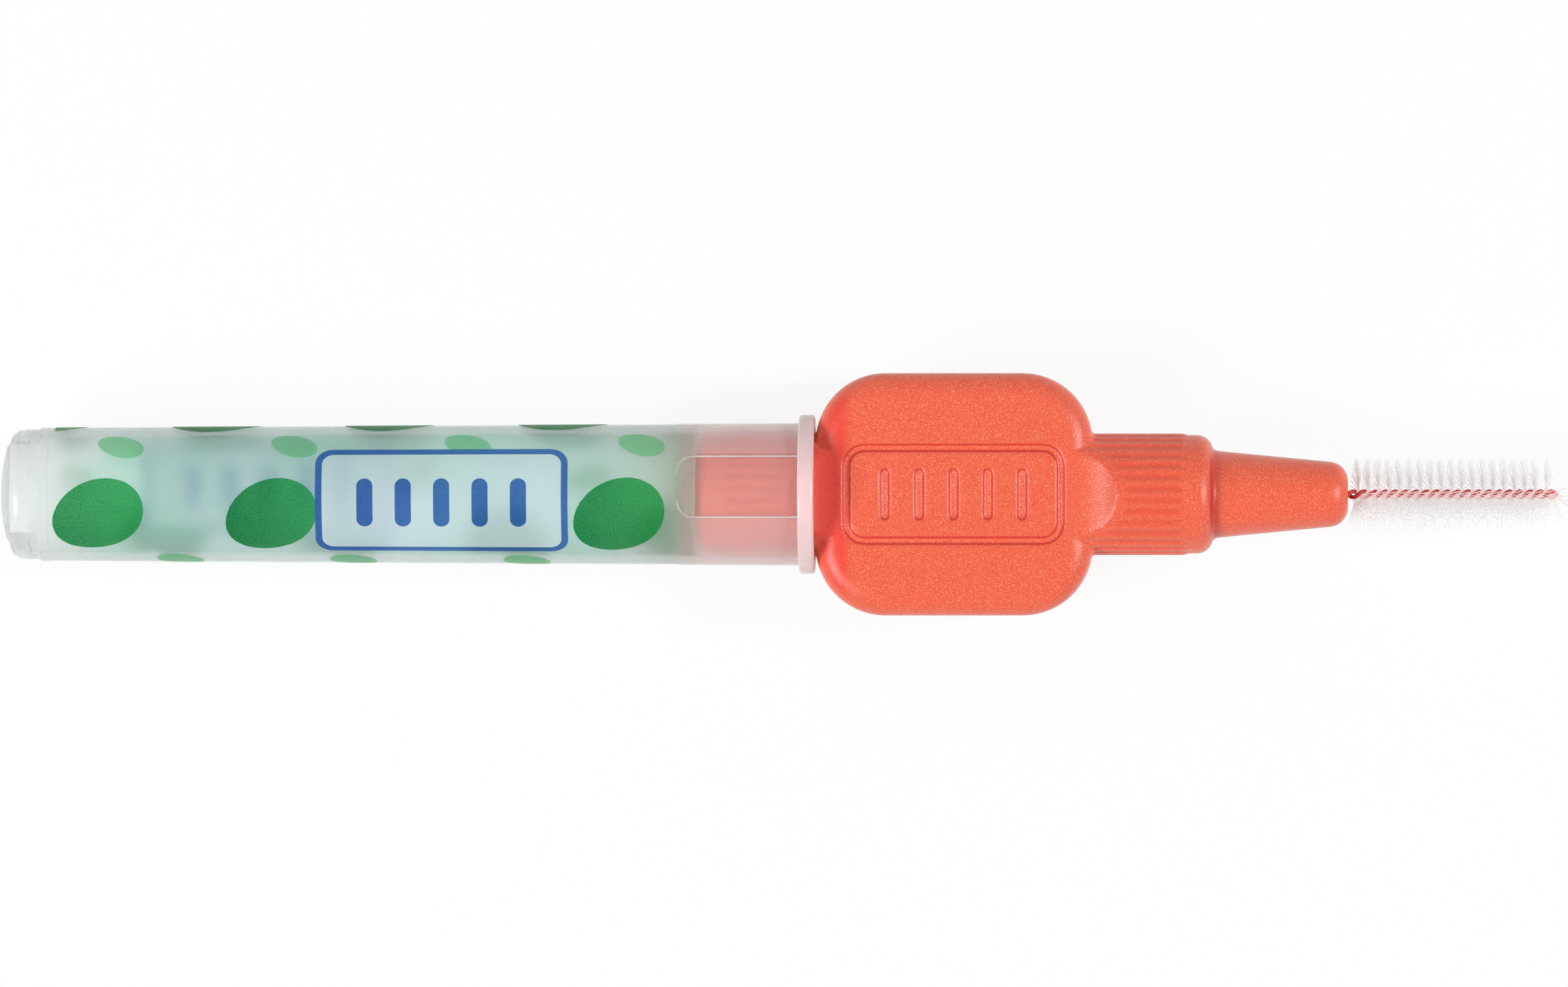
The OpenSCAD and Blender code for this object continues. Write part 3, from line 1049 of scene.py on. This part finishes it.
class INTERDENTAL_OT_wire(Operator):
    """Builds the coated wire, bent double at the tip and twisted, and finishes its steel core"""

    bl_idname = "interdental.wire"
    bl_label = "Build wire"

    def execute(self, context):
        settings = context.scene.interdental_wire
        bm = tube_along([wire_path(settings)], settings.leg / 2, 3)
        material = wire_plastic(settings)
        add_piece("wire_coat", bm, "brush", "wire_coating", material, sharp=50)
        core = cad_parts["core_wire"]
        core.data.materials.clear()
        core.data.materials.append(drawn_steel())
        return {"FINISHED"}


def twist_at(x, pitch):
    """How far the wire's twist has turned at a place along it."""
    return 2 * math.pi * (x - NOSE_TIP_X) / pitch


def leg_way(a):
    """Direction from the axis to the first leg, where the twist has turned by a."""
    return Vector((0, math.sin(a), math.cos(a)))


def hair_way(a):
    """Direction in which the filaments leave between the legs there."""
    return Vector((0, math.cos(a), -math.sin(a)))


def loop_start(wire):
    """Where the legs of the wire end and its end loop starts."""
    return WIRE_END_X - wire.coil - wire.leg / 2


def wire_path(wire):
    """Middle line of the wire in millimetres: out along one leg, round the end loop and back."""
    end_x = loop_start(wire)
    tail_x = NOSE_TIP_X - WIRE_TAIL
    steps = round((end_x - tail_x) / wire.pitch * STEPS_A_TURN)

    def at(x, side):
        return Vector((x, 0, AXIS_Z)) + side * wire.coil * leg_way(twist_at(x, wire.pitch))

    stations = [tail_x + (end_x - tail_x) * i / steps for i in range(steps + 1)]
    out = [at(x, 1) for x in stations]
    back = [at(x, -1) for x in reversed(stations)]
    loop = []
    for i in range(1, LOOP_STEPS):
        b = math.pi * i / LOOP_STEPS
        loop.append(at(end_x + wire.coil * math.sin(b), math.cos(b)))
    return out + loop + back


class INTERDENTAL_OT_filaments(Operator):
    """Builds the nylon filaments, with a tapered strand out of each side of the twist"""

    bl_idname = "interdental.filaments"
    bl_label = "Build filaments"

    def execute(self, context):
        settings = context.scene.interdental_hair
        wire = context.scene.interdental_wire
        reach = (HAIR_HIGH.y - HAIR_LOW.y) / 2 - HAIR_INSET
        last_x = loop_start(wire) - HAIR_END_GAP
        bm = bmesh.new()
        add_twisted_strands(bm, settings, wire, reach, last_x)
        add_end_fan(bm, settings, reach, last_x)
        material = nylon(settings)
        add_piece("nylon_filaments", bm, "brush", "filaments", material, sharp=60)
        return {"FINISHED"}


def add_twisted_strands(bm, settings, wire, reach, last_x):
    """Strands to both sides along the wire, which turn with its twist."""
    chance = random.Random(HAIR_SEED)
    first_x = NOSE_TIP_X + HAIR_START_GAP
    cells = round((last_x - first_x) / wire.pitch * settings.per_turn)
    for i in range(cells):
        x = first_x + (i + 0.5) * (last_x - first_x) / cells
        a = twist_at(x, wire.pitch)
        end = max(0, 1 - (last_x - x) / (0.5 * wire.pitch))
        for side in (1, -1):
            out = side * hair_way(a + chance.uniform(-TURN_SPREAD, TURN_SPREAD))
            spread = chance.uniform(-LEAN_SPREAD, LEAN_SPREAD)
            ahead = settings.lean * out.z + spread + END_LEAN * end
            way = (out + Vector((ahead, 0, 0))).normalized()
            add_strand(bm, settings, x, way, reach * chance.uniform(LEAST_SHARE, 1.0))


def add_end_fan(bm, settings, reach, last_x):
    """Strands that fan forward past the wire's end loop."""
    for i in range(settings.end_strands):
        share = i / (settings.end_strands - 1)
        a = math.radians(FAN_LEAST + FAN_OPENING * share**FAN_CROWDING)
        turn = math.radians(FAN_SIDE + FAN_SWING * math.sin(FAN_STEP * i))
        out = Vector((0, math.sin(turn), math.cos(turn))) * math.sin(a)
        way = out + Vector((math.cos(a), 0, 0))
        x = last_x - FAN_LENGTH * share
        room = (HAIR_HIGH.x - x - settings.across / 2) / way.x
        add_strand(bm, settings, x, way, min(reach, room))


def add_strand(bm, settings, x, way, length):
    """One filament from the axis at x, with its tip a little finer."""
    middle = Vector((x, 0, AXIS_Z)) + way * length / 2
    turn = way.to_track_quat("Z", "Y").to_matrix().to_4x4()
    bmesh.ops.create_cone(
        bm,
        cap_ends=True,
        segments=HAIR_SIDES,
        radius1=settings.across / 2,
        radius2=settings.across / 2 * TIP_SHARE,
        depth=length,
        matrix=Matrix.Translation(middle) @ turn,
    )


class INTERDENTAL_OT_cap(Operator):
    """Builds the frosted cap with smooth rounded surfaces, and the beads round its grip pads"""

    bl_idname = "interdental.cap"
    bl_label = "Build cap"

    def execute(self, context):
        settings = context.scene.interdental_cap
        bm = lathe(cap_section(settings), ring=False)
        sink_pockets(bm, settings)
        turn_cap(bm, settings)
        material = frosted_plastic(settings)
        add_piece("cap_shell", bm, "cap", "cap_tube", material, sharp=32)
        edges = grip_pad_edges(settings)
        turn_cap(edges, settings)
        material = pad_edge_highlight()
        add_piece("grip_pad_edges", edges, "cap", "cap_tube", material, sharp=60)
        return {"FINISHED"}


def turn_cap(bm, settings):
    """Turns a part of the cap round the brush's axis, as it stands on its spigot."""
    turn = Matrix.Rotation(-settings.turn, 3, "X")
    bmesh.ops.rotate(bm, cent=(0, 0, AXIS_Z), matrix=turn, verts=bm.verts)


def domed_end(x, dome_r, corner_r, side_r):
    """Points from the axis over a shallow dome and round its corner to the side."""
    middle_r = side_r - corner_r
    reach = dome_r - corner_r
    middle_x = x + dome_r - math.sqrt(reach**2 - middle_r**2)
    dome_a = math.asin(middle_r / reach)
    dome_steps = 10
    corner_steps = 12
    points = []
    for i in range(dome_steps + 1):
        a = dome_a * i / dome_steps
        points.append((x + dome_r * (1 - math.cos(a)), dome_r * math.sin(a)))
    for i in range(1, corner_steps + 1):
        a = dome_a + (math.pi / 2 - dome_a) * i / corner_steps
        points.append((middle_x - corner_r * math.cos(a), middle_r + corner_r * math.sin(a)))
    return points


def cap_section(settings):
    """Half section of the cap, from the middle of the dome over the rim and back inside."""
    start = CAP_LOW.x
    mouth = CAP_HIGH.x
    wall = settings.wall
    edge = settings.rim_edge
    edge_steps = 5
    rim_r = (CAP_HIGH.z - CAP_LOW.z) / 2
    points = domed_end(start, settings.dome, settings.corner, film_radius(start + OUTER_SHOULDER))
    pocket_x = start + settings.pocket_length
    points.append((pocket_x, film_radius(pocket_x)))
    for x, sunk in ((FILM_LOW.x, 0), (FILM_LOW.x, 1), (FILM_HIGH.x, 1), (FILM_HIGH.x, 0)):
        points.append((x, film_radius(x) - sunk * FILM_THICK))
    rim_x = mouth - settings.rim_length
    points.append((rim_x, film_radius(rim_x)))
    for corner_x, turn in ((rim_x + edge, -math.pi / 2), (mouth - edge, 0)):
        for i in range(edge_steps + 1):
            a = turn + math.pi / 2 * i / edge_steps
            points.append((corner_x + edge * math.sin(a), rim_r - edge + edge * math.cos(a)))
    points.append((mouth, film_radius(mouth) - wall))
    inner_r = film_radius(start + INNER_SHOULDER) - wall
    inner = domed_end(start + settings.end_wall, settings.dome, INNER_CORNER, inner_r)
    return points + list(reversed(inner))


def sink_pockets(bm, settings):
    """Sets a shallow pocket back into both sides of the closed end."""
    half = settings.band / 2
    limit = CAP_LOW.x + settings.pocket_length
    for side in (1, -1):
        near = [face for face in bm.faces if face.calc_center_median().x < limit]
        lines = {edge for face in near for edge in face.edges}
        corners = {corner for face in near for corner in face.verts}
        bmesh.ops.bisect_plane(
            bm,
            geom=near + list(lines) + list(corners),
            dist=0.0001,
            plane_co=(0, side * half, 0),
            plane_no=(0, 1, 0),
        )
    pockets = []
    for face in bm.faces:
        middle = face.calc_center_median()
        radius = math.hypot(middle.y, middle.z - AXIS_Z)
        outside = middle.x < CAP_LOW.x + END_SKIN or radius > SKIN_R
        if outside and middle.x < limit and abs(middle.y) > half:
            pockets.append(face)
    bmesh.ops.inset_region(
        bm,
        faces=pockets,
        thickness=POCKET_FLANK,
        depth=-settings.pocket_depth,
        use_even_offset=True,
        use_boundary=True,
    )


def grip_pad_edges(settings):
    """Fine beads round the grip pads inside the mouth, on the sides that face up and down."""
    end = CAP_HIGH.x - settings.rim_length
    half = settings.pad_width / 2
    corner = GRIP_CORNER
    steps = 18
    outline = [(end, -half)]
    for i in range(steps + 1):
        a = -math.pi / 2 - math.pi * i / steps
        middle = -half + corner if i < steps / 2 else half - corner
        x = GRIP_START_X + corner + corner * math.cos(a)
        outline.append((x, middle + corner * math.sin(a)))
    outline.append((end, half))
    paths = []
    for side in (1, -1):
        path = []
        for x, across in outline:
            radius = film_radius(x) - settings.wall
            a = across / radius
            path.append((x, radius * math.sin(a), AXIS_Z + side * radius * math.cos(a)))
        paths.append(path)
    return tube_along(paths, GRIP_BEAD, 1)


class INTERDENTAL_OT_film(Operator):
    """Builds the printed film round the cap"""

    bl_idname = "interdental.film"
    bl_label = "Build film"

    def execute(self, context):
        settings = context.scene.interdental_film
        low_r = film_radius(FILM_LOW.x)
        high_r = film_radius(FILM_HIGH.x)
        section = [
            (FILM_LOW.x, low_r - FILM_PIECE_THICK),
            (FILM_LOW.x, low_r),
            (FILM_HIGH.x, high_r),
            (FILM_HIGH.x, high_r - FILM_PIECE_THICK),
        ]
        bm = lathe(section)
        material = printed_film(settings)
        add_piece("print_film", bm, "cap", "label_film", material, sharp=40)
        return {"FINISHED"}


class INTERDENTAL_OT_stage(Operator):
    """Builds the floor, the lights, the world and the camera"""

    bl_idname = "interdental.stage"
    bl_label = "Build stage"

    def execute(self, context):
        scene = context.scene
        add_floor(scene)
        for name, place, size, power in LAMPS:
            add_lamp(scene, name, place, size, power)
        scene.world = studio_world()
        add_camera(scene, scene.interdental_stage)
        scene.view_settings.view_transform = "Standard"
        return {"FINISHED"}


def add_floor(scene):
    """A wide sheet of paper just under the object."""
    bm = bmesh.new()
    bmesh.ops.create_grid(bm, x_segments=1, y_segments=1, size=FLOOR_HALF)
    mesh = bpy.data.meshes.new("floor")
    bm.to_mesh(mesh)
    bm.free()
    mesh.materials.append(floor_paper())
    floor = bpy.data.objects.new("floor", mesh)
    floor.location = (0, 0, -FLOOR_GAP)
    scene.collection.objects.link(floor)


def add_lamp(scene, name, place, size, power):
    """A square soft lamp that looks at the middle of the object."""
    lamp = bpy.data.lights.new(name, "AREA")
    lamp.shape = "SQUARE"
    lamp.size = size
    lamp.energy = power
    holder = bpy.data.objects.new(name, lamp)
    holder.location = place
    aim = Vector((0, 0, AXIS_Z * MM)) - Vector(place)
    holder.rotation_euler = aim.to_track_quat("-Z", "Y").to_euler()
    scene.collection.objects.link(holder)


def add_camera(scene, settings):
    """The photograph's view: from straight above, with a long lens."""
    lens = bpy.data.cameras.new("camera")
    lens.sensor_width = 36
    lens.lens = lens.sensor_width * settings.distance / settings.across
    lens.clip_start = 0.01
    lens.clip_end = 20
    camera = bpy.data.objects.new("camera", lens)
    camera.location = (settings.side, 0, AXIS_Z * MM + settings.distance)
    back = (camera.location - Vector((0, AIM_Y, AXIS_Z * MM))).normalized()
    right = Vector((0, 1, 0)).cross(back).normalized()
    camera.rotation_euler = Matrix((right, back.cross(right), back)).transposed().to_euler()
    scene.collection.objects.link(camera)
    scene.camera = camera


class INTERDENTAL_PT_panel(Panel):
    """Lists the steps and their settings"""

    bl_idname = "INTERDENTAL_PT_panel"
    bl_label = "Interdental brush"
    bl_space_type = "VIEW_3D"
    bl_region_type = "UI"
    bl_category = "Interdental brush"

    def draw(self, context):
        for step, group in STEPS:
            box = self.layout.box()
            box.operator(step.bl_idname)
            settings = getattr(context.scene, group)
            for name in settings.__annotations__:
                box.prop(settings, name)


GROUPS = {
    "interdental_handle": HandleSettings,
    "interdental_wire": WireSettings,
    "interdental_hair": HairSettings,
    "interdental_cap": CapSettings,
    "interdental_film": FilmSettings,
    "interdental_stage": StageSettings,
}
STEPS = (
    (INTERDENTAL_OT_handle, "interdental_handle"),
    (INTERDENTAL_OT_wire, "interdental_wire"),
    (INTERDENTAL_OT_filaments, "interdental_hair"),
    (INTERDENTAL_OT_cap, "interdental_cap"),
    (INTERDENTAL_OT_film, "interdental_film"),
    (INTERDENTAL_OT_stage, "interdental_stage"),
)
CLASSES = (*GROUPS.values(), *(step for step, _ in STEPS), INTERDENTAL_PT_panel)


def register():
    for cls in CLASSES:
        bpy.utils.register_class(cls)
    for name, group in GROUPS.items():
        setattr(bpy.types.Scene, name, PointerProperty(type=group))


def unregister():
    for name in GROUPS:
        delattr(bpy.types.Scene, name)
    for cls in reversed(CLASSES):
        bpy.utils.unregister_class(cls)


def main():
    register()
    bpy.ops.interdental.handle()
    bpy.ops.interdental.wire()
    bpy.ops.interdental.filaments()
    bpy.ops.interdental.cap()
    bpy.ops.interdental.film()
    bpy.ops.interdental.stage()


if __name__ == "__main__":
    main()
